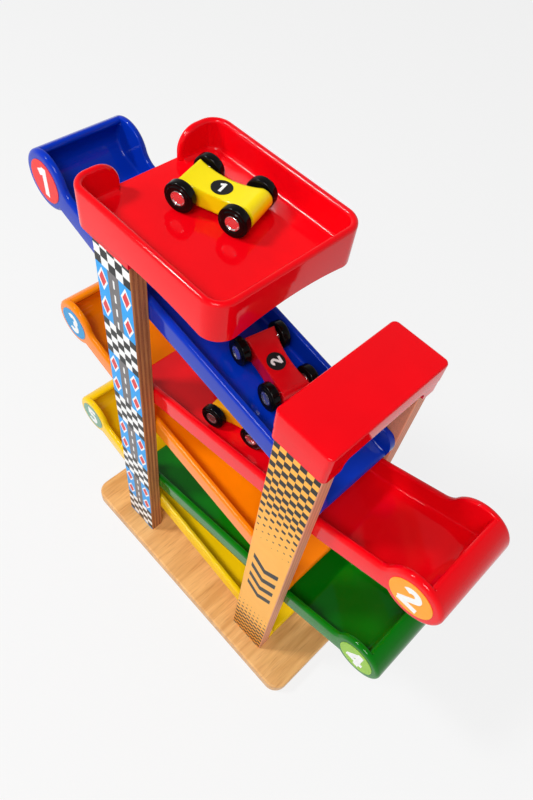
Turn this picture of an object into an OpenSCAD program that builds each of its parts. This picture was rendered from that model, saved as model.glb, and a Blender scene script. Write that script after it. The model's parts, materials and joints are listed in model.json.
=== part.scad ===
// Zigzag racing track of wood and plastic, with five gutters and three small cars.
// Millimetres, +Z up. The origin is at the middle of the base's underside.
// X runs along the gutters, and the cups' number badges face -Y.

/* [Base] */
// Length of the base along X
base_l = 228.6; // [190:0.2:280]
// Width of the base along Y
base_w = 103; // [92:1:140]
// Thickness of the base
base_t = 12; // [9:0.5:18]
// Radius of the base's corners in plan
base_corner_r = 10.6; // [5:0.2:24]
// Rounding of the base's edges
base_edge_r = 1.5; // [0.5:0.25:3]

/* [Posts] */
// Width of a post along X
post_w = 30; // [24:1:36]
// Thickness of a post along Y
post_t = 10; // [8:0.5:13]
// Distance between the left and right posts' centres
post_spacing = 132.4; // [120:0.2:150]
// Rounding of a post's long edges
post_edge_r = 0.8; // [0.4:0.1:2]

/* [Tracks] */
// Width of a track over its walls
track_w = 57; // [52:0.5:64]
// Thickness of a track's walls
track_wall = 4; // [3:0.25:5]
// Thickness of a track's floor
track_floor = 3; // [2:0.25:4]
// Height of a track's walls above its underside
track_wall_h = 16; // [12:0.5:17]
// Rounding of a track's outer edges
track_edge_r = 2.4; // [1:0.1:2.6]
// Fillet between a track's floor and walls
track_fillet_r = 2; // [1:0.25:3]
// Fall of a track between its posts in degrees
track_fall = 12; // [9:0.25:12.5]
// Fall of a track's ramp, from its cup to its bend, in degrees
ramp_fall = 20; // [17:0.5:21]
// Distance from a cup's axis to the bend of its track
bend_d = 54; // [48:0.5:56]
// Height from one track to the next
track_step = 57.5; // [55:0.5:70]
// Gap between the lowest track and the base
track_clear = 2.2; // [1:0.2:8]
// Radius of the side walls' rounding at a track's open end
track_end_r = 13; // [8:0.5:14]

/* [Cups] */
// Outer radius of a track's catcher cup
cup_r = 17; // [16:0.5:20]
// Distance from the middle to a cup's axis
cup_reach = 138.6; // [130:0.2:160]
// Inside radius of a cup, where the ramp's floor turns up
cup_in_r = 12; // [11:0.25:13]
// Distance along the ramp from a cup's axis to the axis of its inside
cup_in_u = 3.4; // [2.5:0.1:4]
// Radius of the hollow curve between a cup's side and the ramp's wall
cup_blend_r = 10; // [6:0.5:12]
// Radius of a number badge
badge_r = 12.2; // [8:0.1:14]
// Thickness of a number badge
badge_t = 0.3; // [0.2:0.05:0.6]

/* [Start tray] */
// Length of the tray along X
tray_l = 103.5; // [92:0.5:120]
// How far the tray reaches past the left posts, along X
tray_overhang = 4.8; // [4:0.1:10]
// How far the tray reaches past the posts' outer faces, along Y
tray_side = 6.9; // [5:0.1:12]
// Height of the tray's floor above the top cup's axis
tray_rise = 25.8; // [24:0.2:40]
// Height of the tray's rim above its floor
tray_rim_h = 16.6; // [15:0.2:24]
// Depth of the tray's skirt below its floor's top, at the corners
tray_skirt_h = 5.8; // [5.2:0.1:12]
// Thickness of the tray's walls
tray_wall = 4; // [3:0.25:5]
// Thickness of the tray's floor
tray_floor = 2; // [1.5:0.1:3]
// Thickness of the tray's skirt
tray_skirt = 2.2; // [1.5:0.1:3]
// Radius of the tray's corners in plan
tray_corner_r = 11; // [9:0.5:18]
// Fillet between the tray's floor and walls
tray_fillet_r = 3; // [1:0.5:5]
// Width of the gap in the tray's left wall, at the floor
tray_gap_w = 36; // [34:1:44]
// Radius by which the wall rounds down on each side of the gap
tray_gap_r = 12; // [6:0.5:14]
// Rise of the arches along the skirt's lower edges
tray_arch_h = 3.7; // [1:0.1:3.8]
// Depth of a post's socket below the tray's floor
socket_h = 13; // [8:0.5:20]
// Thickness of a socket's walls
socket_t = 1.7; // [1.2:0.1:3]

/* [Bridge cap] */
// Height of the cap's top above the top cup's axis
cap_rise = 7.8; // [4:0.2:20]
// Height of the cap at its ends
cap_h = 20.5; // [17:0.5:26]
// Thickness of the cap's top
cap_top = 3; // [2:0.25:4]
// Thickness of the cap's skirt
cap_skirt = 1.6; // [1.2:0.1:2.5]
// Depth by which the lower skirt steps back from the face
cap_step = 0.3; // [0.2:0.1:0.5]
// Radius of the cap's corners in plan
cap_corner_r = 3.2; // [3.2:0.2:8]
// Rounding of the cap's upper edges
cap_edge_r = 1.2; // [0.5:0.1:2.5]
// Height of the arch under the cap's long sides
cap_arch_h = 8.5; // [6:0.5:12]
// Radius of the arch's upper corners
cap_arch_r = 6.5; // [3:0.5:9]

/* [Cars] */
// Distance between a car's axles
car_wheelbase = 29.3; // [26:0.1:34]
// Width of a car over its tyres
car_w = 31; // [28:0.5:34]
// Radius of a tyre
wheel_r = 7.9; // [7:0.1:8.6]
// Width of a tyre
tyre_w = 5.3; // [4.5:0.1:5.6]
// Rounding of a tyre's shoulders
tyre_shoulder = 0.9; // [0.4:0.1:1.5]
// Height of the steps on a tyre's outer face
tyre_step = 0.5; // [0.2:0.1:0.8]
// Radius of the raised ring on a tyre's outer face
tyre_ring_r = 5.9; // [5.2:0.1:6.3]
// Radius of a hub in its tyre
hub_r = 3.9; // [3:0.1:4.4]
// Radius of an axle
axle_r = 1.2; // [0.8:0.1:1.6]
// Cover of a hub's face over its axle's end
hub_face_t = 1.4; // [1:0.1:2]
// Reach of a car's tail behind the middle of its wheelbase
body_tail = 17.8; // [16:0.1:22]
// Reach of a car's nose ahead of the middle of its wheelbase
body_nose = 22.5; // [20:0.1:26]
// Width of a car's body at its ends
body_w = 18.6; // [15:0.1:19]
// Depth of the waist on each side of a car's body
body_waist = 1.8; // [0.5:0.1:3]
// Height of a car's body above the floor
body_lift = 2.4; // [1.5:0.1:4]
// Height of the saddle's lowest point above the floor
saddle_h = 11.6; // [11:0.1:14]
// Radius of the saddle
saddle_r = 62; // [45:1:90]
// Length of the nose's rounding
nose_len = 5.6; // [3:0.1:8]
// Radius of the number disc on a car
disc_r = 5.3; // [3:0.1:6]
// Thickness of the number disc on a car
disc_t = 0.25; // [0.2:0.05:0.5]

/* [Places of the cars] */
// Car 1 on the tray, along X
car_1_x = -43.3; // [-48:0.1:-30]
// Car 1 on the tray, along Y
car_1_y = 11; // [-14:0.1:14]
// Car 1's turn on the tray in degrees
car_1_turn = 17; // [-20:1:20]
// Car 2 on the top track, along X
car_2_x = 9.2; // [-90:0.1:60]
// Car 2's turn in its track in degrees
car_2_turn = -10; // [-12:1:12]
// Gap between car 2 and the wall that it leans to
car_2_gap = 0.5; // [0.3:0.1:3]
// Car 3 on the second track, along X
car_3_x = 1.9; // [-50:0.1:90]
// Car 3 in its track, along Y
car_3_y = 0.6; // [-3:0.1:3]
// Car 3's turn in its track in degrees
car_3_turn = 9; // [-12:1:12]

/* [Fits] */
// Gap between pieces that seat in each other
fit = 0.1; // [0.05:0.05:0.2]
// Gap between an axle and its bore
axle_gap = 0.05; // [0.02:0.01:0.1]
// Gap between a tyre and the floor under it
tyre_gap = 0.2; // [0.1:0.05:0.4]
// Gap between a hub's boss and the car's body
boss_gap = 0.4; // [0.3:0.1:0.6]
// Radius of the pegs that hold a track to its posts
peg_r = 3; // [2:0.25:4]
// Length of the pegs that hold a track to its posts
peg_l = 5; // [3:0.5:7]
// Radius of a base screw's shank
screw_r = 1.75; // [1.25:0.25:2.25]
// Length of a base screw
screw_l = 30; // [22:1:40]
// Radius of a base screw's head
screw_head_r = 3.5; // [3:0.25:4.5]
// Height of a base screw's countersunk head
screw_head_h = 2.2; // [1.5:0.1:3]
// Depth of a base screw's head below the base's underside
screw_sink = 0.4; // [0.2:0.1:1]

/* [Hidden] */
$fn = 64;
fine_fn = 180;
arc_steps = 6;
slack = 1;
inset = 0.05;
track_count = 5;
TRACKS = [1:track_count];
CARS = [1:3];
ENDS = [["front", 1], ["rear", -1]];
SIDES = [["left", 1], ["right", -1]];
POSTS = [["front_left", -1, -1], ["back_left", -1, 1], ["front_right", 1, -1], ["back_right", 1, 1]];
TRACK_COLOURS = ["royalblue", "crimson", "darkorange", "limegreen", "gold"];
BADGE_COLOURS = ["red", "orange", "deepskyblue", "yellowgreen", "cadetblue"];
CAR_COLOURS = ["gold", "firebrick", "goldenrod"];

NODES = concat(
    ["base_plate", "base_screws"],
    [for (p = POSTS) str("post_", p[0])],
    ["start_tray", "bridge_cap"],
    [for (k = TRACKS) str("track_", k)],
    [for (k = TRACKS) str("number_badge_", k)],
    [for (i = CARS) str("car_", i, "_body")],
    [for (i = CARS) str("car_", i, "_number_disc")],
    [for (i = CARS, e = ENDS) str("car_", i, "_", e[0], "_axle")],
    [for (i = CARS, e = ENDS, s = SIDES) str("car_", i, "_", e[0], "_", s[0], "_hub")],
    [for (i = CARS, e = ENDS, s = SIDES) str("car_", i, "_", e[0], "_", s[0], "_tyre")]
);
node = "all";

// Tracks: u runs down along a track from its cup's axis, and w is square to its floor
track_under = -cup_r;
track_top = track_under + track_floor;
wall_top = track_under + track_wall_h;
channel_w = track_w - 2 * track_wall;
cup_lip_r = (track_wall - track_edge_r) * 2 / 3;
cup_floor_w = channel_w + track_wall - track_edge_r + cup_lip_r;
peg_w = (track_under + wall_top) / 2;
bend_u = track_u(bend_d, track_under);
bend_drop = track_drop(bend_d, track_under);
post_x = post_spacing / 2;
post_in_y = track_w / 2 + fit;
post_y = post_in_y + post_t / 2;
post_out_y = post_in_y + post_t;
track_end_d = cup_reach + post_x + post_w / 2;
track_end_u = track_u(track_end_d, track_top);
lowest_drop = track_end_u * sin(track_fall) - track_under * cos(track_fall);
function track_u(d, w) = (d - w * sin(track_fall)) / cos(track_fall);
function track_drop(d, w) = track_u(d, w) * sin(track_fall) - w * cos(track_fall);
function cup_side(k) = k % 2 == 1 ? -1 : 1;
function cup_z(k) = base_t + track_clear + lowest_drop + (track_count - k) * track_step;
function peg_z(k, side) = cup_z(k) - track_drop(cup_reach - cup_side(k) * side * post_x, peg_w);

// Ramps: u and w as above, but turned to the ramp's fall
ramp_under = bend_d * sin(ramp_fall) - bend_drop * cos(ramp_fall);
ramp_end_u = bend_d * cos(ramp_fall) + bend_drop * sin(ramp_fall);
ramp_wall_top = ramp_under + track_wall_h;
cup_in = [cup_in_u, ramp_under + track_floor + cup_in_r];
rim_r = track_wall / 2;
rim = meeting(cup_r - rim_r, cup_in, cup_in_r + rim_r);
cup_blend_w = ramp_wall_top + cup_blend_r;
cup_blend = [sqrt(pow(cup_r + cup_blend_r, 2) - cup_blend_w * cup_blend_w), cup_blend_w];

// Point at distance a from the origin and b from c, on the left of the way from the origin to c
function meeting(a, c, b) =
    let (gap = norm(c), x = (a * a - b * b + gap * gap) / (2 * gap), y = sqrt(a * a - x * x))
    (x * c + y * [-c[1], c[0]]) / gap;

// Tray and cap heights
tray_z = cup_z(1) + tray_rise;
tray_x = tray_l / 2 - post_x - post_w / 2 - tray_overhang;
tray_w = 2 * (post_out_y + tray_side);
cap_z = cup_z(1) + cap_rise;
cap_l = post_w + 2 * (fit + cap_skirt + cap_step);
cap_w = 2 * (post_out_y + fit + cap_skirt + cap_step);

// Cars: the origin is on the floor below the middle of the wheelbase
function saddle_z(x) = saddle_h + saddle_r - sqrt(saddle_r * saddle_r - x * x);
function car_reach_y(turn) = car_w / 2 * cos(turn) + (car_wheelbase / 2 + wheel_r) * abs(sin(turn));
car_2_y = channel_w / 2 - car_2_gap - car_reach_y(car_2_turn);
hub_in_y = car_w / 2 - tyre_w;
axle_end = tyre_w - hub_face_t;
boss_l = hub_in_y - body_w / 2 - boss_gap;
boss_r = (hub_r + axle_r) / 2;

// Points of an arc round c from angle a to angle b
function arc(c, r, a, b, n = arc_steps) =
    [for (i = [0:n]) let (t = a + (b - a) * i / n) c + r * [cos(t), sin(t)]];

// The same points seen in a mirror at x = 0, in the opposite order
function mirrored(points) = [for (i = [len(points) - 1:-1:0]) [-points[i][0], points[i][1]]];

module rounded_rect(l, w, r) {
    square([l - 2 * r, w], center = true);
    square([l, w - 2 * r], center = true);
    for (x = [-1, 1], y = [-1, 1]) translate([x * (l / 2 - r), y * (w / 2 - r)]) circle(r);
}

// Carries a profile round a rounded rectangle; the profile's x is 0 at the corners' centres
module round_rect(l, w, r) {
    for (turn = [0, 180]) rotate([0, 0, turn]) {
        translate([l / 2 - r, w / 2 - r, 0]) rotate([90, 0, 0]) linear_extrude(w - 2 * r) children();
        translate([l / 2 - r, w / 2 - r, 0]) rotate_extrude(angle = 90) children();
        rotate([0, 0, 90]) {
            translate([w / 2 - r, l / 2 - r, 0]) rotate([90, 0, 0]) linear_extrude(l - 2 * r) children();
            translate([w / 2 - r, l / 2 - r, 0]) rotate_extrude(angle = 90) children();
        }
    }
}

// Extrudes an outline drawn in X and Z across a width along Y
module across(w) {
    translate([0, w / 2, 0]) rotate([90, 0, 0]) linear_extrude(w) children();
}

// Extrudes an outline drawn in Y and Z from one place along X to another
module along(from, to) {
    translate([from, 0, 0]) rotate([90, 0, 90]) linear_extrude(to - from) children();
}

module screw_places() {
    for (x = [-1, 1], y = [-1, 1], q = [-1, 1])
        translate([x * post_x + q * post_w / 4, y * post_y, screw_sink]) children();
}

module screw(gap) {
    translate([0, 0, -gap - (gap > 0 ? screw_sink : 0)])
        cylinder(h = 2 * gap + (gap > 0 ? screw_sink : 0), r = screw_head_r + gap);
    translate([0, 0, gap]) cylinder(h = screw_head_h, r1 = screw_head_r + gap, r2 = screw_r + gap);
    cylinder(h = screw_l + gap, r = screw_r + gap);
}

module base_plate() {
    core_l = base_l - 2 * base_corner_r;
    core_w = base_w - 2 * base_corner_r;
    color("burlywood") difference() {
        union() {
            translate([-core_l / 2, -core_w / 2, 0]) cube([core_l, core_w, base_t]);
            round_rect(base_l, base_w, base_corner_r) polygon(concat(
                [[0, 0]],
                arc([base_corner_r - base_edge_r, base_edge_r], base_edge_r, -90, 0),
                arc([base_corner_r - base_edge_r, base_t - base_edge_r], base_edge_r, 0, 90),
                [[0, base_t]]
            ));
        }
        screw_places() screw(fit);
    }
}

module base_screws() {
    color("silver") screw_places() screw(0);
}

module post(side, back) {
    top = side < 0 ? tray_z - tray_floor : cap_z - cap_top;
    color("tan") difference() {
        translate([side * post_x, back * post_y, base_t])
            linear_extrude(top - fit - base_t) rounded_rect(post_w, post_t, post_edge_r);
        for (k = TRACKS)
            translate([side * post_x, back * post_in_y, peg_z(k, side)]) rotate([-90 * back, 0, 0])
                translate([0, 0, -slack]) cylinder(h = slack + peg_l, r = peg_r + fit);
        screw_places() screw(fit);
    }
}

// Sockets for the left posts' tops, hanging down from z = 0
module post_sockets() {
    for (back = [-1, 1]) translate([-post_x, back * post_y, -socket_h / 2]) difference() {
        cube([post_w + 2 * (fit + socket_t), post_t + 2 * (fit + socket_t), socket_h], center = true);
        cube([post_w + 2 * fit, post_t + 2 * fit, socket_h + 2 * slack], center = true);
    }
}

// Cylinder along X whose top rises above z = 0 by the skirt's arch, between the ends of a side
module skirt_arch(side, length) {
    r = (side * side / 4 + tray_arch_h * tray_arch_h) / (2 * tray_arch_h);
    translate([0, 0, tray_arch_h - r]) rotate([0, 90, 0])
        cylinder(h = length, r = r, center = true, $fn = fine_fn);
}

module start_tray() {
    r = tray_corner_r;
    rim = tray_skirt_h + tray_rim_h;
    rim_r = tray_wall / 2;
    fillet_x = r - tray_wall - tray_fillet_r;
    core_l = tray_l - 2 * r;
    core_w = tray_w - 2 * r;
    under = tray_skirt_h - tray_floor;
    left = -tray_l / 2;
    color("firebrick") translate([0, 0, tray_z - tray_skirt_h]) {
        translate([tray_x, 0, 0]) difference() {
            union() {
                translate([-core_l / 2, -core_w / 2, under]) cube([core_l, core_w, tray_floor]);
                round_rect(tray_l, tray_w, r) polygon(concat(
                    [[r - tray_skirt, 0], [r, 0]],
                    arc([r - rim_r, rim - rim_r], rim_r, 0, 180, 2 * arc_steps),
                    arc([fillet_x, tray_skirt_h + tray_fillet_r], tray_fillet_r, 0, -90),
                    [[0, tray_skirt_h], [0, under], [r - tray_skirt, under]]
                ));
            }
            along(left - slack, left + tray_wall + tray_fillet_r) tray_gap(rim);
            skirt_arch(core_w, tray_l + slack);
            rotate([0, 0, 90]) skirt_arch(core_l, tray_w + slack);
        }
        for (back = [0, 1]) mirror([0, back, 0])
            translate([tray_x + left + rim_r, 0, 0]) tray_gap_edge(rim);
        translate([0, 0, under]) post_sockets();
    }
}

// Outline of the gap in the tray's left wall, seen along X, short of the round edges beside it
module tray_gap(rim) {
    edge_r = tray_wall / 2;
    arc_y = tray_gap_w / 2 + tray_gap_r;
    half = concat(
        [[tray_gap_w / 2 + edge_r, tray_skirt_h]],
        arc([arc_y, rim - tray_gap_r], tray_gap_r - edge_r, 180, 90, 2 * arc_steps),
        [[arc_y, rim + slack]]
    );
    polygon(concat(half, mirrored(half)));
}

// Round edge of the wall beside the gap, from the floor up to the rim
module tray_gap_edge(rim) {
    mid = tray_wall / 2;
    edge_r = mid - inset;
    translate([0, tray_gap_w / 2 + tray_gap_r, rim - tray_gap_r]) rotate([90, 0, 90]) rotate([0, 0, 90])
        rotate_extrude(angle = 90) translate([tray_gap_r - mid, 0]) circle(edge_r);
    translate([0, tray_gap_w / 2 + mid, tray_skirt_h - tray_floor])
        cylinder(h = rim - tray_gap_r - tray_skirt_h + tray_floor, r = edge_r);
}

module bridge_cap() {
    r = cap_corner_r;
    core_l = cap_l - 2 * r;
    core_w = cap_w - 2 * r;
    inner = r - cap_skirt - cap_step;
    rib_y = post_in_y - fit - cap_skirt / 2;
    rib_z = cap_arch_h + cap_step;
    rib_h = cap_h - cap_top - rib_z;
    color("firebrick") translate([post_x, 0, cap_z - cap_h]) {
        difference() {
            union() {
                translate([-core_l / 2, -core_w / 2, cap_h - cap_top]) cube([core_l, core_w, cap_top]);
                round_rect(cap_l, cap_w, r) polygon(concat(
                    [[inner, 0], [r - cap_step, 0], [r - cap_step, cap_arch_h], [r, cap_arch_h + cap_step]],
                    arc([r - cap_edge_r, cap_h - cap_edge_r], cap_edge_r, 0, 90),
                    [[0, cap_h], [0, cap_h - cap_top], [inner, cap_h - cap_top]]
                ));
            }
            along(-cap_l, cap_l) cap_arch();
        }
        for (back = [-1, 1]) translate([0, back * rib_y, rib_z + rib_h / 2])
            cube([core_l + 2 * inner, cap_skirt, rib_h], center = true);
    }
}

// Outline of the arch under the cap's long sides, seen along X
module cap_arch() {
    foot_r = cap_arch_h - cap_arch_r;
    foot_y = post_in_y + foot_r;
    half = concat(
        [[foot_y, -slack]],
        arc([foot_y, foot_r], foot_r, -90, -180),
        arc([foot_y - foot_r - cap_arch_r, foot_r], cap_arch_r, 0, 90)
    );
    polygon(concat(half, mirrored(half)));
}

module at_track(k, fall = track_fall) {
    translate([cup_side(k) * cup_reach, 0, cup_z(k)])
        rotate([0, 0, cup_side(k) < 0 ? 0 : 180]) rotate([0, fall, 0]) children();
}

// Cross-section of a gutter: y across, w up from its underside
module track_section() {
    edge = track_w / 2;
    half = concat(
        arc([edge - track_edge_r, track_edge_r], track_edge_r, -90, 0),
        arc([edge - track_edge_r, track_wall_h - track_edge_r], track_edge_r, 0, 90),
        arc([channel_w / 2 + cup_lip_r, track_wall_h - cup_lip_r], cup_lip_r, 90, 180),
        arc([channel_w / 2 - track_fillet_r, track_floor + track_fillet_r], track_fillet_r, 0, -90)
    );
    polygon(concat(half, mirrored(half)));
}

// Side outline of a gutter with its open end rounded
module track_outline() {
    lean = 15;
    c = [track_end_u - track_end_r, wall_top - track_end_r * cos(lean)];
    polygon(concat(
        [[0, wall_top + slack], [0, track_under - slack], [track_end_u, track_under - slack]],
        arc(c, track_end_r, 0, 90 - lean, 2 * arc_steps),
        [[c[0] + track_end_r * sin(lean), wall_top + slack]]
    ));
}

// Cuts the rounded lip at the open end of a gutter's floor
module track_lip() {
    c = [track_end_u - track_floor, track_under];
    polygon(concat(
        arc(c, track_floor, 90, 0),
        [[track_end_u + slack, track_under], [track_end_u + slack, track_top + slack]],
        [[track_end_u - track_floor, track_top + slack]]
    ));
}

// Spins a profile of radius and Y about an axis along Y, from below the axis towards the cup's outer side
module about(c, angle) {
    translate([c[0], 0, c[1]]) rotate([-90, 0, 0]) rotate([0, 0, 90])
        rotate_extrude(angle = angle, $fn = fine_fn) children();
}

// Round wall on one side of a cup
module cup_disc() {
    translate([0, channel_w / 2]) polygon(concat(
        [[0, 0]],
        arc([cup_r - cup_lip_r, cup_lip_r], cup_lip_r, -90, 0),
        arc([cup_r - track_edge_r, track_wall - track_edge_r], track_edge_r, 0, 90),
        [[0, track_wall]]
    ));
}

// Section of the web that fills the hollow curve between a cup's side and the ramp's wall
module cup_web() {
    near = cup_blend_r + inset;
    far = cup_blend_r + track_wall;
    translate([0, channel_w / 2]) polygon(concat(
        [[far, track_wall], [far, 0]],
        arc([near + cup_lip_r, cup_lip_r], cup_lip_r, -90, -180),
        arc([near + track_edge_r, track_wall - track_edge_r], track_edge_r, 180, 90)
    ));
}

// Section of a cup's inside: the ramp's floor turned up
module cup_floor() {
    fillet = [channel_w / 2 - track_fillet_r, cup_in_r - track_fillet_r];
    half = concat(
        [[cup_floor_w / 2, cup_in_r + track_floor], [cup_floor_w / 2, fillet[1]]],
        arc(fillet, track_fillet_r, 0, 90)
    );
    rotate(-90) polygon(concat(half, mirrored(half)));
}

// Section of a cup's round outside
module cup_drum() {
    translate([cup_r - track_floor, -cup_floor_w / 2]) square([track_floor, cup_floor_w]);
}

module track_ramp() {
    along(cup_in_u, ramp_end_u) translate([0, ramp_under]) track_section();
    for (back = [0, 1]) mirror([0, back, 0]) {
        about([0, 0], 360) cup_disc();
        about(cup_blend, acos(cup_blend[1] / norm(cup_blend))) cup_web();
    }
    about([0, 0], 90 + atan2(rim[1], -rim[0])) cup_drum();
    about(cup_in, 90 + atan2(rim[1] - cup_in[1], cup_in[0] - rim[0])) cup_floor();
    translate([rim[0], 0, rim[1]]) rotate([90, 0, 0]) cylinder(h = channel_w, r = rim_r - inset, center = true);
}

module track(k) {
    color(TRACK_COLOURS[k - 1]) {
        at_track(k) {
            difference() {
                intersection() {
                    along(bend_u, track_end_u + slack) translate([0, track_under]) track_section();
                    across(track_w + slack) track_outline();
                }
                across(channel_w) track_lip();
            }
            for (x = [-post_x, post_x], back = [-1, 1])
                translate([track_u(cup_reach + x, peg_w), back * (track_w / 2 - slack), peg_w])
                    rotate([-90 * back, 0, 0]) cylinder(h = slack + peg_l, r = peg_r);
        }
        at_track(k, ramp_fall) track_ramp();
    }
}

module number_badge(k) {
    color(BADGE_COLOURS[k - 1]) translate([cup_side(k) * cup_reach, -track_w / 2, cup_z(k)])
        rotate([90, 0, 0]) cylinder(h = badge_t, r = badge_r);
}

module at_car(i) {
    if (i == 1) {
        translate([car_1_x, car_1_y, tray_z + tyre_gap]) rotate([0, 0, car_1_turn]) children();
    } else {
        k = i - 1;
        x = i == 2 ? car_2_x : car_3_x;
        y = i == 2 ? car_2_y : car_3_y;
        turn = i == 2 ? car_2_turn : car_3_turn;
        face = cup_side(k) < 0 ? 1 : -1;
        u = track_u(cup_reach - cup_side(k) * x, track_top);
        at_track(k) translate([u, face * y, track_top + tyre_gap])
            rotate([0, 0, turn + (face < 0 ? 180 : 0)]) children();
    }
}

// Plan outline of a car's body
module body_plan() {
    half_l = (body_tail + body_nose) / 2;
    mid = (body_nose - body_tail) / 2;
    waist_r = (half_l * half_l + body_waist * body_waist) / (2 * body_waist);
    swing = asin(half_l / waist_r);
    far = body_w / 2 - body_waist + waist_r;
    polygon(concat(
        arc([mid, -far], waist_r, 90 + swing, 90 - swing, 2 * arc_steps),
        arc([mid, far], waist_r, swing - 90, -swing - 90, 2 * arc_steps)
    ));
}

// Side outline of a car's body with its round nose, before the saddle is cut
module body_side() {
    nose_x = body_nose - nose_len;
    nose_r = (saddle_z(nose_x) - body_lift) / 2;
    nose = [for (p = arc([0, 0], 1, -90, 90, 2 * arc_steps))
        [nose_x + nose_len * p[0], body_lift + nose_r + nose_r * p[1]]];
    polygon(concat(nose, [[-body_tail, saddle_z(body_tail)], [-body_tail, body_lift]]));
}

// Cylinder across a car whose lowest line is the bottom of the saddle
module saddle(r) {
    translate([0, 0, saddle_h + saddle_r]) rotate([90, 0, 0])
        cylinder(h = body_w + slack, r = r, center = true, $fn = fine_fn);
}

module car_body(i) {
    color(CAR_COLOURS[i - 1]) at_car(i) difference() {
        intersection() {
            linear_extrude(saddle_h + saddle_r / 2) body_plan();
            across(body_w + slack) body_side();
        }
        saddle(saddle_r);
        for (e = ENDS) translate([e[1] * car_wheelbase / 2, 0, wheel_r]) rotate([90, 0, 0])
            cylinder(h = body_w + 2 * slack, r = axle_r + axle_gap, center = true);
    }
}

module car_number_disc(i) {
    color("black") at_car(i) difference() {
        intersection() {
            cylinder(h = saddle_h + disc_r, r = disc_r);
            saddle(saddle_r);
        }
        saddle(saddle_r - disc_t);
    }
}

module car_axle(i, end) {
    color("silver") at_car(i) translate([end * car_wheelbase / 2, 0, wheel_r]) rotate([90, 0, 0])
        cylinder(h = 2 * (hub_in_y + axle_end), r = axle_r, center = true);
}

module at_wheel(i, end, side) {
    at_car(i) translate([end * car_wheelbase / 2, side * hub_in_y, wheel_r])
        rotate([-90 * side, 0, 0]) children();
}

module hub(i, end, side) {
    lip = tyre_w - tyre_step / 2;
    dish_r = hub_r - tyre_step;
    color("lightgray") at_wheel(i, end, side) rotate_extrude() polygon([
        [axle_r, -boss_l], [boss_r, -boss_l], [boss_r, 0], [hub_r, 0], [hub_r, tyre_w - tyre_step],
        [hub_r - tyre_step / 2, lip], [dish_r, lip], [dish_r - tyre_step, lip - tyre_step],
        [0, lip - tyre_step / 2], [0, axle_end], [axle_r, axle_end]
    ]);
}

module tyre(i, end, side) {
    tread_r = wheel_r - tyre_shoulder;
    face = tyre_w - tyre_step;
    color("black") at_wheel(i, end, side) rotate_extrude() polygon(concat(
        [[hub_r, 0]],
        arc([tread_r, tyre_shoulder], tyre_shoulder, -90, 0),
        arc([tread_r, face - tyre_shoulder], tyre_shoulder, 0, 90),
        [[tyre_ring_r + tyre_step, face], [tyre_ring_r, tyre_w]],
        [[hub_r + tyre_step, tyre_w], [hub_r, face]]
    ));
}

function shown(name) = node == "all" || node == name;

if (shown("base_plate")) base_plate();
if (shown("base_screws")) base_screws();
for (p = POSTS) if (shown(str("post_", p[0]))) post(p[1], p[2]);
if (shown("start_tray")) start_tray();
if (shown("bridge_cap")) bridge_cap();
for (k = TRACKS) if (shown(str("track_", k))) track(k);
for (k = TRACKS) if (shown(str("number_badge_", k))) number_badge(k);
for (i = CARS) if (shown(str("car_", i, "_body"))) car_body(i);
for (i = CARS) if (shown(str("car_", i, "_number_disc"))) car_number_disc(i);
for (i = CARS, e = ENDS) if (shown(str("car_", i, "_", e[0], "_axle"))) car_axle(i, e[1]);
for (i = CARS, e = ENDS, s = SIDES)
    if (shown(str("car_", i, "_", e[0], "_", s[0], "_hub"))) hub(i, e[1], s[1]);
for (i = CARS, e = ENDS, s = SIDES)
    if (shown(str("car_", i, "_", e[0], "_", s[0], "_tyre"))) tyre(i, e[1], s[1]);
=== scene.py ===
import json
import math

import bpy
from mathutils import Matrix, Vector


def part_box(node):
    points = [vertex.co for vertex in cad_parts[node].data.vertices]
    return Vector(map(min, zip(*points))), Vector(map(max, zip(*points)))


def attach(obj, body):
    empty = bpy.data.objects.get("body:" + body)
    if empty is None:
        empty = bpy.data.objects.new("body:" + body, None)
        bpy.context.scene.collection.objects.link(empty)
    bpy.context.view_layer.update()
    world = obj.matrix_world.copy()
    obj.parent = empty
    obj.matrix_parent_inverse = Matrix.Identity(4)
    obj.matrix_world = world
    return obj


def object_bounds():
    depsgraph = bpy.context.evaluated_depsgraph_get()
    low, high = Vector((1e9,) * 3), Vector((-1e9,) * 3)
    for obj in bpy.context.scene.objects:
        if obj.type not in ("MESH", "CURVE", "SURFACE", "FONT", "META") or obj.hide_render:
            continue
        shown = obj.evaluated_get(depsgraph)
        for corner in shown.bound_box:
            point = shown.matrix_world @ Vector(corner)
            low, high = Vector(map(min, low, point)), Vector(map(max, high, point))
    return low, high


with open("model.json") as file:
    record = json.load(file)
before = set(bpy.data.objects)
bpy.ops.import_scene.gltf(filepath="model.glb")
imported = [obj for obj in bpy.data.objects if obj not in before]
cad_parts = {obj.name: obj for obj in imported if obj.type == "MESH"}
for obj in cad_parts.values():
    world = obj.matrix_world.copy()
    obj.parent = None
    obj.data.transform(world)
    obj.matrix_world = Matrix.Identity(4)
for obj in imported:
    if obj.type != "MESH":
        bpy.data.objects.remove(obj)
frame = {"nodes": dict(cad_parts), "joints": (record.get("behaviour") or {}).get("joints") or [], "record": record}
cad_box = [list(corner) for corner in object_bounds()]

MM = 0.001
TRACKS = range(1, 6)
CARS = range(1, 4)

# Camera, fitted to the photo: place in metres, directions, and lens in millimetres
EYE = Vector((0.13907, -0.16442, 0.53910))
LOOK = Vector((-0.3487, 0.4576, -0.8179))
RIGHT = Vector((0.6897, 0.7162, 0.1067))
LENS = 29.18
NEAR_CLIP = 0.01

# Light: lamps at one distance from the part's middle, under a sky that darkens upwards
LAMP_AWAY = 1.6
LAMPS = {
    "key": {"from": Vector((-0.49, -0.45, 0.75)), "size": 0.24, "power": 13},
    "fill": {"from": Vector((0.25, -0.50, 0.83)), "size": 0.55, "power": 12.5},
}
HORIZON = 0.70
ZENITH = 0.12

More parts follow.
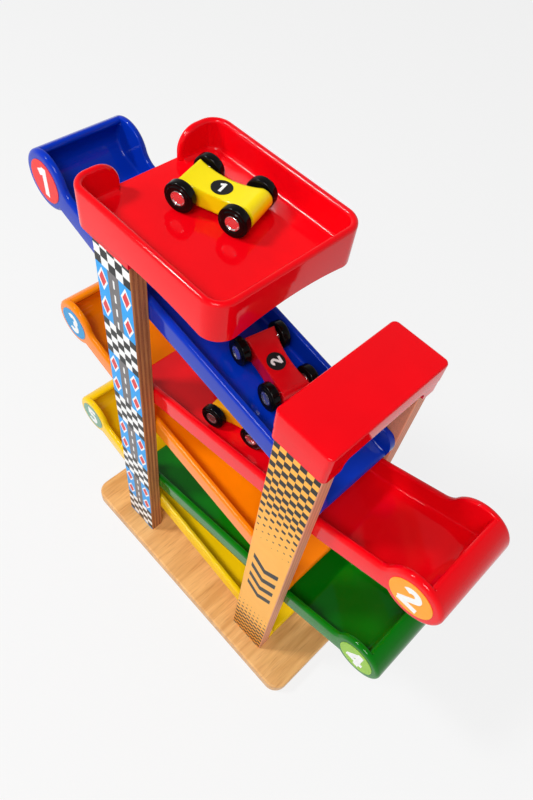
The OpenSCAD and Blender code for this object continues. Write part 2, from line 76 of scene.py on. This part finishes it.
# Floor: the shadow is the share of its own shading that the camera and reflections see
FLOOR_SIZE = 100
FLOOR_DROP = 0.2 * MM
FLOOR_WHITE = (0.93, 0.93, 0.93, 1)
FLOOR_ROUGHNESS = 0.9
FLOOR_SPECULAR = 0.1
FLOOR_SHADOW = 0.14

# Sizes of the source's solids that prints and numerals follow
POST_HALF_MM = 15
DISC_T = 0.25 * MM
DISC_WIDTH = 10.6 * MM
SADDLE_R = 62 * MM

# Prints and numerals: a numeral's height is a share of its badge or disc
PRINT_SKIN_MM = 0.12
INK_T = 0.08 * MM
STROKE = 0.22
BADGE_SHARE = 0.72
DISC_SHARE = 0.62
TAIL_TO_NOSE = 1
NOSE_TO_TAIL = -1
READING = {1: TAIL_TO_NOSE, 2: NOSE_TO_TAIL, 3: TAIL_TO_NOSE}

# Surfaces
PLIES = 7
SMOOTH_TO = math.radians(32)
MERGE_WITHIN = 0.004 * MM
NOISE_SPAN = (0.3, 0.7)

# Colours as linear values; a pair is a dark and a light one that noise mixes
PLASTICS = {
    "red_plastic": (0.84, 0.001, 0.006),
    "blue_plastic": (0.001, 0.030, 0.44),
    "orange_plastic": (0.95, 0.240, 0.001),
    "green_plastic": (0.001, 0.165, 0.003),
    "yellow_plastic": (0.94, 0.590, 0.003),
}
PAINTS = {
    "yellow_paint": (0.95, 0.76, 0.002),
    "red_paint": (0.74, 0.003, 0.008),
    "orange_paint": (0.95, 0.38, 0.005),
}
FILMS = {
    "badge_red": (0.84, 0.026, 0.022),
    "badge_orange": (0.92, 0.36, 0.018),
    "badge_sky": (0.014, 0.30, 0.64),
    "badge_green": (0.30, 0.56, 0.05),
    "badge_teal": (0.20, 0.40, 0.30),
    "disc_black": (0.012, 0.012, 0.013),
}
WHITE_INK = (0.86, 0.86, 0.85)
THIN_WHITE_INK = (0.82, 0.82, 0.81)
BLACK_INK = (0.010, 0.009, 0.009)
RED_INK = (0.70, 0.03, 0.035)
BROWN_INK = (0.62, 0.18, 0.012)
BLUE_INKS = ((0.002, 0.31, 0.78), (0.003, 0.36, 0.86))
GREY_INKS = ((0.09, 0.085, 0.09), (0.22, 0.20, 0.20))
ORANGE_INKS = ((0.90, 0.39, 0.040), (0.94, 0.46, 0.060))
RUBBERS = ((0.002, 0.002, 0.002), (0.005, 0.004, 0.004))
CHROMES = ((0.80, 0.77, 0.76), (0.90, 0.88, 0.87))
STEELS = ((0.46, 0.45, 0.44), (0.62, 0.61, 0.60))
BASE_FACES = ((0.66, 0.32, 0.092), (0.84, 0.460, 0.160))
BASE_EDGES = ((0.42, 0.22, 0.09), (0.58, 0.35, 0.16))
BASE_PORE = (0.48, 0.20, 0.05)
# Plywood tones of the two posts: grain tones, with the left post's set darker as painted shade and the right
# post's set lighter as painted light
LEFT_WOOD_PAINTED_SHADE = {
    "light": (0.62, 0.28, 0.100),
    "dark": (0.36, 0.130, 0.048),
    "crossed": (0.19, 0.060, 0.028),
}
RIGHT_WOOD_PAINTED_LIGHT = {
    "light": (0.92, 0.41, 0.25),
    "dark": (0.76, 0.32, 0.19),
    "crossed": (0.56, 0.24, 0.14),
}


class Field:
    """A number that varies over a surface: arithmetic on it adds Math nodes to its graph."""

    def __init__(self, graph, socket):
        self.graph = graph
        self.socket = socket

    def __add__(self, other):
        return self.graph.math("ADD", self, other)

    def __sub__(self, other):
        return self.graph.math("SUBTRACT", self, other)

    def __mul__(self, other):
        return self.graph.math("MULTIPLY", self, other)

    def __truediv__(self, other):
        return self.graph.math("DIVIDE", self, other)

    def __mod__(self, other):
        return self.graph.math("FLOORED_MODULO", self, other)

    def __lt__(self, other):
        return self.graph.math("LESS_THAN", self, other)

    def __gt__(self, other):
        return self.graph.math("GREATER_THAN", self, other)

    def __abs__(self):
        return self.graph.math("ABSOLUTE", self)

    def __floor__(self):
        return self.graph.math("FLOOR", self)

    def either(self, other):
        return self.graph.math("MAXIMUM", self, other)

    def between(self, low, high):
        return (self > low) * (self < high)

    def ramp(self, low, high, to_low=0.0, to_high=1.0):
        """The span from low to high stretched to run from to_low to to_high, and held beyond it."""
        node = self.graph.node("ShaderNodeMapRange")
        self.graph.plug(self, node.inputs["Value"])
        ends = {"From Min": low, "From Max": high, "To Min": to_low, "To Max": to_high}
        for name, value in ends.items():
            node.inputs[name].default_value = value
        return Field(self.graph, node.outputs["Result"])

    def spread(self, low, high):
        """Noise's usual span stretched to run from low to high."""
        return self.ramp(*NOISE_SPAN, low, high)


class Graph:
    """One material's nodes, with the place on the part in millimetres.

    Settings are named for the shader's sockets, with underscores for spaces.
    """

    # Sockets of a Mix node that mixes colours: factor, first and second colour, and result
    MIX_INPUTS = (0, 6, 7)
    MIX_RESULT = 2

    def __init__(self, name, **settings):
        self.material = bpy.data.materials.new(name)
        self.material.use_nodes = True
        self.tree = self.material.node_tree
        self.tree.nodes.clear()
        self.shader = self.node("ShaderNodeBsdfPrincipled")
        output = self.node("ShaderNodeOutputMaterial")
        self.tree.links.new(self.shader.outputs["BSDF"], output.inputs["Surface"])
        for socket, value in settings.items():
            self.shader.inputs[socket.replace("_", " ")].default_value = value
        scale = self.node("ShaderNodeVectorMath")
        scale.operation = "SCALE"
        scale.inputs["Scale"].default_value = 1 / MM
        self.tree.links.new(self.node("ShaderNodeTexCoord").outputs["Object"], scale.inputs[0])
        self.place = scale.outputs["Vector"]
        split = self.node("ShaderNodeSeparateXYZ")
        self.tree.links.new(self.place, split.inputs[0])
        self.x, self.y, self.z = (Field(self, split.outputs[axis]) for axis in "XYZ")

    def node(self, kind):
        return self.tree.nodes.new(kind)

    def plug(self, value, socket):
        """Links a field or a socket to that socket, or sets a number or a colour on it."""
        if isinstance(value, Field):
            value = value.socket
        if isinstance(value, bpy.types.NodeSocket):
            self.tree.links.new(value, socket)
        elif isinstance(value, tuple):
            socket.default_value = (*value, 1)
        else:
            socket.default_value = value

    def math(self, operation, *values):
        node = self.node("ShaderNodeMath")
        node.operation = operation
        for value, socket in zip(values, node.inputs):
            self.plug(value, socket)
        return Field(self, node.outputs[0])

    def mix(self, factor, first, second):
        node = self.node("ShaderNodeMix")
        node.data_type = "RGBA"
        for value, index in zip((factor, first, second), self.MIX_INPUTS):
            self.plug(value, node.inputs[index])
        return node.outputs[self.MIX_RESULT]

    def noise(self, size, stretch=(1, 1, 1), detail=3, seed=0.0):
        """Noise from 0 to 1 with features of about size millimetres, stretched along an axis."""
        scale = self.node("ShaderNodeVectorMath")
        scale.operation = "MULTIPLY_ADD"
        self.tree.links.new(self.place, scale.inputs[0])
        scale.inputs[1].default_value = [1 / (size * s) for s in stretch]
        scale.inputs[2].default_value = (seed, seed, seed)
        node = self.node("ShaderNodeTexNoise")
        node.inputs["Scale"].default_value = 1
        node.inputs["Detail"].default_value = detail
        self.tree.links.new(scale.outputs["Vector"], node.inputs["Vector"])
        return Field(self, node.outputs["Fac"])

    def colour(self, value):
        self.plug(value, self.shader.inputs["Base Color"])

    def roughness(self, field):
        self.plug(field, self.shader.inputs["Roughness"])

    def relief(self, height, depth, edge=0.0):
        """Bump of that depth in millimetres, over edges that look rounded by edge millimetres."""
        bump = self.node("ShaderNodeBump")
        bump.inputs["Distance"].default_value = depth * MM
        self.plug(height, bump.inputs["Height"])
        if edge:
            bevel = self.node("ShaderNodeBevel")
            bevel.samples = 4
            bevel.inputs["Radius"].default_value = edge * MM
            self.tree.links.new(bevel.outputs["Normal"], bump.inputs["Normal"])
        self.tree.links.new(bump.outputs["Normal"], self.shader.inputs["Normal"])


# Materials
def dimmed(rgb, share):
    return tuple(share * c for c in rgb)


def plastic(name, rgb):
    """Moulded gloss plastic: faint flow in the colour, a few handling marks in the gloss."""
    g = Graph(name, Specular_IOR_Level=0.22)
    flow = g.noise(size=35, detail=2)
    g.colour(g.mix(flow.ramp(0.35, 0.65), dimmed(rgb, 0.92), rgb))
    marks = g.noise(size=9, detail=4, seed=3.1)
    g.roughness(marks.spread(0.04, 0.10))
    g.relief(g.noise(size=11, detail=1, seed=7.3), depth=0.02, edge=0.35)
    return g.material


def paint(name, rgb):
    """Gloss paint over wood: thin and thick places in the colour, soft waves, rounded edges."""
    g = Graph(name, Specular_IOR_Level=0.38)
    g.colour(g.mix(g.noise(size=6, seed=1.7), dimmed(rgb, 0.92), rgb))
    g.roughness(g.noise(size=4, seed=5.0).spread(0.10, 0.20))
    g.relief(g.noise(size=5, detail=1, seed=2.4), depth=0.08, edge=1.5)
    return g.material


def film(name, rgb):
    """Printed film, with a fine tooth."""
    g = Graph(name, Specular_IOR_Level=0.2)
    g.colour(g.mix(g.noise(size=5, seed=2.0), dimmed(rgb, 0.94), rgb))
    g.roughness(g.noise(size=2, seed=4.0).spread(0.30, 0.42))
    g.relief(g.noise(size=0.3, detail=2), depth=0.004)
    return g.material


def tyre_rubber():
    g = Graph("tyre", Specular_IOR_Level=0.14)
    g.colour(g.mix(g.noise(size=2.5), *RUBBERS))
    g.roughness(g.noise(size=1.2, seed=2.2).spread(0.08, 0.16))
    g.relief(g.noise(size=1.6, detail=1, seed=1.0), depth=0.006, edge=0.3)
    return g.material


def plated():
    g = Graph("chrome", Metallic=0.93)
    g.colour(g.mix(g.noise(size=3), *CHROMES))
    g.roughness(g.noise(size=0.8, seed=6.0).spread(0.08, 0.18))
    g.relief(g.noise(size=1.6, detail=1), depth=0.02, edge=0.3)
    return g.material


def steel():
    """Bright steel with fine marks along Y."""
    g = Graph("steel", Metallic=1)
    g.colour(g.mix(g.noise(size=1.5), *STEELS))
    g.roughness(g.noise(size=0.4, stretch=(1, 6, 1)).spread(0.22, 0.40))
    g.relief(g.noise(size=0.3, stretch=(1, 8, 1)), depth=0.01, edge=0.15)
    return g.material


def base_wood():
    """Lacquered plywood with its face grain along Y and its plies showing round the edge."""
    g = Graph("base_wood", Coat_Weight=0.12, Coat_Roughness=0.3)
    lo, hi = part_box("base_plate")
    thickness = (hi.z - lo.z) / MM
    under_skin, top_skin = 0.4, 0.35
    figure = g.noise(size=5, stretch=(1, 12, 4), detail=5)
    pores = g.noise(size=1.1, stretch=(1, 14, 3), detail=3, seed=9.0)
    face = g.mix(figure.ramp(0.36, 0.62), *BASE_FACES)
    face = g.mix(pores.ramp(0.54, 0.72, 0, 0.5), face, BASE_PORE)
    crossed = math.floor(g.z * (PLIES / thickness)) % 2
    end_grain = g.noise(size=0.5, stretch=(1, 1, 0.7), detail=2, seed=4.0)
    edge = g.mix(end_grain.ramp(0.35, 0.65), *BASE_EDGES)
    side = g.z.between(under_skin, thickness - top_skin)
    g.colour(g.mix(side * crossed * 0.75, face, edge))
    g.roughness(pores.spread(0.42, 0.55))
    g.relief(pores, depth=0.04, edge=0.3)
    return g.material


def ply_colours(g, wood, out_y, thickness):
    """Plywood on a post's edges, long-grained and crossed plies in turn, and its streaks."""
    streaks = g.noise(size=0.45, stretch=(1, 1, 60), detail=3)
    broad = g.noise(size=7, stretch=(1, 1, 6), detail=2, seed=3.0)
    figure = (streaks * 0.6 + broad * 0.4).ramp(0.36, 0.64)
    long_grain = g.mix(figure, wood["dark"], wood["light"])
    pores = g.noise(size=0.35, stretch=(1, 1, 2), detail=2, seed=8.0)
    end_grain = g.mix(pores.ramp(0.35, 0.65), wood["crossed"], wood["dark"])
    wobble = g.noise(size=14, detail=1, seed=5.0) * 0.25
    inwards = abs(g.y) * -1 + out_y
    crossed = math.floor(inwards * (PLIES / thickness) + wobble) % 2
    return g.mix(crossed * 0.8, long_grain, end_grain), streaks


def checker(across, up, cell):
    return (math.floor(across / cell) + math.floor(up / cell)) % 2


def halftone(across, up, cell, fill):
    """Squares on every other cell of a grid; fill from 0 to 1 says how far each fills its cell."""
    in_x = abs(across / cell % 1 - 0.5) * 2
    in_y = abs(up / cell % 1 - 0.5) * 2
    return checker(across, up, cell) * (in_x.either(in_y) < fill)


def left_print(g, across, up):
    """Checkered bands and blue panels with a dashed grey lane between diamonds."""
    cell, rows, panel, shift = 6, 5, 42, 28
    lane_half, dash_half, dash, dash_pitch = 4.6, 0.7, 6, 10.5
    diamonds_out, diamond_pitch, rim, core = 9.8, 21, 5.2, 3.6
    slope_across, slope_up = 1.2, 0.62
    place = (up + shift) % (panel + rows * cell)
    board = g.mix(checker(across + POST_HALF_MM, place, cell), WHITE_INK, BLACK_INK)
    blue = g.mix(g.noise(size=5), *BLUE_INKS)
    grey = g.mix(g.noise(size=0.8, stretch=(1, 1, 7)), *GREY_INKS)
    road = g.mix(abs(across) < lane_half, blue, grey)
    dashes = (abs(across) < dash_half) * (place % dash_pitch < dash)
    road = g.mix(dashes, road, WHITE_INK)
    off_across = abs(abs(across) - diamonds_out) * slope_across
    off_up = abs(place % diamond_pitch - diamond_pitch / 2) * slope_up
    diamonds = off_across + off_up
    road = g.mix(diamonds < rim, road, WHITE_INK)
    road = g.mix(diamonds < core, road, RED_INK)
    return g.mix(place < panel, board, road)


def right_print(g, across, up):
    """Orange, with checkers that shrink away from both ends and chevrons in the middle."""
    top_cell, foot_cell, full = 4.3, 3.75, 1.02
    brown_fades, foot_shrinks, top_grows = (14, 70), (46, 84), (185, 240)
    chevron_span, chevron_half, pitch, stripe, slope = (100, 158), 10.5, 15, 6.5, 0.8
    ground = g.mix(g.noise(size=8), *ORANGE_INKS)
    ground = g.mix(up.ramp(*brown_fades, 0.7, 0.0), ground, BROWN_INK)
    from_edge = across + POST_HALF_MM
    top = halftone(from_edge, up, top_cell, up.ramp(*top_grows, 0.0, full))
    foot = halftone(from_edge, up, foot_cell, up.ramp(*foot_shrinks, full, 0.0))
    rise = up + abs(across) * -slope
    stripes = (rise % pitch < stripe) * rise.between(*chevron_span)
    chevrons = stripes * (abs(across) < chevron_half)
    return g.mix(top.either(foot).either(chevrons), ground, BLACK_INK)


def post_wood(name, post, wood, drawing):
    """Plywood posts, the front one with a print on its outer face that fills most of the grain."""
    g = Graph(name, Specular_IOR_Level=0.2)
    lo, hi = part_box(post)
    out_y = -lo.y / MM
    thickness = (hi.y - lo.y) / MM
    middle = (lo.x + hi.x) / 2 / MM
    bare, streaks = ply_colours(g, wood, out_y, thickness)
    printed = g.y * -1 > out_y - PRINT_SKIN_MM
    g.colour(g.mix(printed, bare, drawing(g, g.x - middle, g.z)))
    g.roughness(printed.ramp(0, 1, 0.55, 0.36))
    g.relief(streaks * (printed * -0.8 + 1), depth=0.05, edge=0.25)
    return g.material


def white_film():
    g = Graph("white_ink")
    g.colour(g.mix(g.noise(size=2), THIN_WHITE_INK, WHITE_INK))
    g.roughness(g.noise(size=1.5, seed=1.0).spread(0.34, 0.46))
    return g.material


materials = {name: plastic(name, rgb) for name, rgb in PLASTICS.items()}
materials.update({name: paint(name, rgb) for name, rgb in PAINTS.items()})
materials.update({name: film(name, rgb) for name, rgb in FILMS.items()})
materials["tyre"] = tyre_rubber()
materials["chrome"] = plated()
materials["steel"] = steel()
materials["base_wood"] = base_wood()
# The left post's plywood carries painted shade, the right post's painted light
materials["left_post_wood"] = post_wood(
    "left_post_wood", "post_front_left", LEFT_WOOD_PAINTED_SHADE, left_print)
materials["right_post_wood"] = post_wood(
    "right_post_wood", "post_front_right", RIGHT_WOOD_PAINTED_LIGHT, right_print)
white_ink = white_film()


# The solids: smooth shading up to an angle, and their slots' materials
def smoothing():
    """Geometry nodes that join a solid's faces and shade it smooth where it bends gently."""
    group = bpy.data.node_groups.new("smooth_to_angle", "GeometryNodeTree")
    for side in ("INPUT", "OUTPUT"):
        group.interface.new_socket("Geometry", in_out=side, socket_type="NodeSocketGeometry")
    enter, leave = group.nodes.new("NodeGroupInput"), group.nodes.new("NodeGroupOutput")
    merge = group.nodes.new("GeometryNodeMergeByDistance")
    merge.inputs["Distance"].default_value = MERGE_WITHIN
    angle = group.nodes.new("GeometryNodeInputMeshEdgeAngle")
    sharp = group.nodes.new("FunctionNodeCompare")
    sharp.operation = "GREATER_THAN"
    sharp.inputs[1].default_value = SMOOTH_TO
    shade = group.nodes.new("GeometryNodeSetMeshNormal")
    shade.mode = "SHARPNESS"
    link = group.links.new
    link(enter.outputs[0], merge.inputs["Geometry"])
    link(merge.outputs["Geometry"], shade.inputs["Mesh"])
    link(angle.outputs["Unsigned Angle"], sharp.inputs[0])
    link(sharp.outputs["Result"], shade.inputs["Edge Sharpness"])
    link(shade.outputs["Mesh"], leave.inputs[0])
    return group


smooth = smoothing()
slots = {part["node"]: part["material_slot"] for part in frame["record"]["subparts"]}
for name, node in frame["nodes"].items():
    node.data.materials.clear()
    node.data.materials.append(materials[slots[name]])
    node.modifiers.new("smooth", "NODES").node_group = smooth


# Numerals as flat strokes, drawn about the middle of a box one unit tall
def bow(centre, radius, start, end, steps=16):
    """Points along an arc from start to end degrees."""
    angles = [math.radians(start + (end - start) * i / steps) for i in range(steps + 1)]
    return [(centre[0] + radius * math.cos(a), centre[1] + radius * math.sin(a)) for a in angles]


def numeral_strokes(digit):
    """Centre lines of a numeral's strokes, for 1 to 5."""
    edge = 0.5 - STROKE / 2
    if digit == 1:
        return [[(0.06, 0.5), (0.06, -0.5)], [(0.06, edge), (-0.24, edge - 0.16)]]
    if digit == 2:
        r = 0.20
        top = bow((0, edge - r), r, 165, -38)
        return [top + [(-0.27, -edge)], [(-0.31, -edge), (0.33, -edge)]]
    if digit == 3:
        r = edge / 2
        return [bow((-0.02, r), r, 150, -90), bow((-0.02, -r), r, 90, -150)]
    if digit == 4:
        stem = [(0.12, 0.5), (0.12, -0.5)]
        slant = [(0.10, edge), (-0.26, -0.17)]
        return [stem, slant, [(-0.36, -0.2), (0.34, -0.2)]]
    r = 0.235
    flag = [(0.26, edge), (-0.2, edge)]
    return [flag, [(-0.16, 0.5), (-0.19, 0.0)], bow((-0.01, r - edge), r, 140, -150)]


def stroke_outline(line):
    """Closed outline of a stroke drawn along a line of points with square ends."""
    sides = ([], [])
    for i, point in enumerate(line):
        before, after = line[max(i - 1, 0)], line[min(i + 1, len(line) - 1)]
        along = (Vector(after) - Vector(before)).normalized()
        normal = Vector((-along.y, along.x)) * STROKE / 2
        sides[0].append(Vector(point) + normal)
        sides[1].append(Vector(point) - normal)
    return sides[0] + sides[1][::-1]


def slab(outline, thickness):
    """Closed prism over an outline, as vertices and faces."""
    count = len(outline)
    vertices = [(p.x, p.y, z) for z in (0, thickness) for p in outline]
    walls = [(i, (i + 1) % count, (i + 1) % count + count, i + count) for i in range(count)]
    return vertices, walls + [tuple(range(count))[::-1], tuple(range(count, 2 * count))]


def numeral(name, digit, height, place, body, bend=0.0):
    """A white numeral in the plane of the matrix place; bend lifts it by bend times x squared."""
    strokes = []
    for line in numeral_strokes(digit):
        mesh = bpy.data.meshes.new(name)
        vertices, faces = slab(stroke_outline(line), INK_T / height)
        mesh.from_pydata(vertices, [], faces)
        strokes.append(bpy.data.objects.new(name, mesh))
        bpy.context.collection.objects.link(strokes[-1])
    first, *others = strokes
    for other in others:
        union = first.modifiers.new("join", "BOOLEAN")
        union.operation = "UNION"
        union.object = other
    bpy.context.view_layer.update()
    evaluated = first.evaluated_get(bpy.context.evaluated_depsgraph_get())
    joined = bpy.data.meshes.new_from_object(evaluated)
    first.modifiers.clear()
    first.data = joined
    for other in others:
        bpy.data.objects.remove(other)
    for vertex in joined.vertices:
        vertex.co *= height
        vertex.co.z += bend * vertex.co.x ** 2
    joined.transform(place)
    joined.materials.append(white_ink)
    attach(first, body)


for k in TRACKS:
    badge = f"number_badge_{k}"
    lo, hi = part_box(badge)
    middle = (lo + hi) / 2
    facing = Matrix(((1, 0, 0, middle.x), (0, 0, -1, lo.y), (0, 1, 0, middle.z), (0, 0, 0, 1)))
    numeral(f"badge_numeral_{k}", k, BADGE_SHARE * (hi.z - lo.z), facing, "stand")

joints = {joint["name"]: joint for joint in frame["joints"]}
for i in CARS:
    front_spin, rear_spin = joints[f"car_{i}_front_spin"], joints[f"car_{i}_rear_spin"]
    front, rear = Vector(front_spin["pos_m"]), Vector(rear_spin["pos_m"])
    left = Vector(front_spin["axis"]).normalized()
    ahead = (front - rear).normalized()
    up = ahead.cross(left)
    middle = (front + rear) / 2
    disc = frame["nodes"][f"car_{i}_number_disc"]
    low = min((disc.matrix_world @ vertex.co - middle).dot(up) for vertex in disc.data.vertices)
    place = Matrix((ahead * READING[i], left * READING[i], up)).transposed().to_4x4()
    place.translation = middle + up * (low + DISC_T)
    numeral(
        f"car_numeral_{i}", i, DISC_SHARE * DISC_WIDTH, place, f"car_{i}",
        bend=0.5 / SADDLE_R)


# Floor, light and camera
def floor_material():
    """Matte white, of which the camera and reflections see mostly a plain glow."""
    material = bpy.data.materials.new("floor")
    material.use_nodes = True
    tree = material.node_tree
    matte = tree.nodes["Principled BSDF"]
    matte.inputs["Base Color"].default_value = FLOOR_WHITE
    matte.inputs["Roughness"].default_value = FLOOR_ROUGHNESS
    matte.inputs["Specular IOR Level"].default_value = FLOOR_SPECULAR
    glow = tree.nodes.new("ShaderNodeEmission")
    glow.inputs["Color"].default_value = FLOOR_WHITE
    paths = tree.nodes.new("ShaderNodeLightPath")
    seen = paths.outputs["Is Camera Ray"]
    for path in ("Is Glossy Ray", "Is Transmission Ray"):
        either = tree.nodes.new("ShaderNodeMath")
        either.operation = "MAXIMUM"
        tree.links.new(seen, either.inputs[0])
        tree.links.new(paths.outputs[path], either.inputs[1])
        seen = either.outputs[0]
    share = tree.nodes.new("ShaderNodeMath")
    share.operation = "MULTIPLY"
    share.inputs[1].default_value = 1 - FLOOR_SHADOW
    blend = tree.nodes.new("ShaderNodeMixShader")
    tree.links.new(seen, share.inputs[0])
    tree.links.new(share.outputs[0], blend.inputs[0])
    tree.links.new(matte.outputs[0], blend.inputs[1])
    tree.links.new(glow.outputs[0], blend.inputs[2])
    tree.links.new(blend.outputs[0], tree.nodes["Material Output"].inputs["Surface"])
    return material


half = FLOOR_SIZE / 2
corners = [(-half, -half, 0), (half, -half, 0), (half, half, 0), (-half, half, 0)]
floor_mesh = bpy.data.meshes.new("floor")
floor_mesh.from_pydata(corners, [], [(0, 1, 2, 3)])
floor_mesh.materials.append(floor_material())
floor = bpy.data.objects.new("floor", floor_mesh)
floor.location.z = -FLOOR_DROP
bpy.context.collection.objects.link(floor)

world = bpy.data.worlds.new("studio")
bpy.context.scene.world = world
world.use_nodes = True
sky = world.node_tree
direction = sky.nodes.new("ShaderNodeTexCoord")
split = sky.nodes.new("ShaderNodeSeparateXYZ")
level = sky.nodes.new("ShaderNodeMapRange")
level.inputs["To Min"].default_value = HORIZON
level.inputs["To Max"].default_value = ZENITH
background = sky.nodes["Background"]
background.inputs["Color"].default_value = (1, 1, 1, 1)
sky.links.new(direction.outputs["Generated"], split.inputs[0])
sky.links.new(split.outputs["Z"], level.inputs["Value"])
sky.links.new(level.outputs["Result"], background.inputs["Strength"])

middle = (Vector(cad_box[0]) + Vector(cad_box[1])) / 2
for name, lamp in LAMPS.items():
    panel = bpy.data.objects.new(name, bpy.data.lights.new(name, "AREA"))
    panel.data.size = lamp["size"]
    panel.data.energy = lamp["power"]
    panel.location = middle + lamp["from"].normalized() * LAMP_AWAY
    panel.rotation_euler = lamp["from"].to_track_quat("Z", "Y").to_euler()
    bpy.context.collection.objects.link(panel)

camera = bpy.data.objects.new("camera", bpy.data.cameras.new("camera"))
camera.data.lens = LENS
camera.data.clip_start = NEAR_CLIP
across = RIGHT.normalized()
back = -LOOK.normalized()
turned = Matrix((across, back.cross(across), back)).transposed().to_4x4()
camera.matrix_world = Matrix.Translation(EYE) @ turned
bpy.context.collection.objects.link(camera)
bpy.context.scene.camera = camera
bpy.context.scene.view_settings.view_transform = "Standard"

bpy.context.view_layer.update()
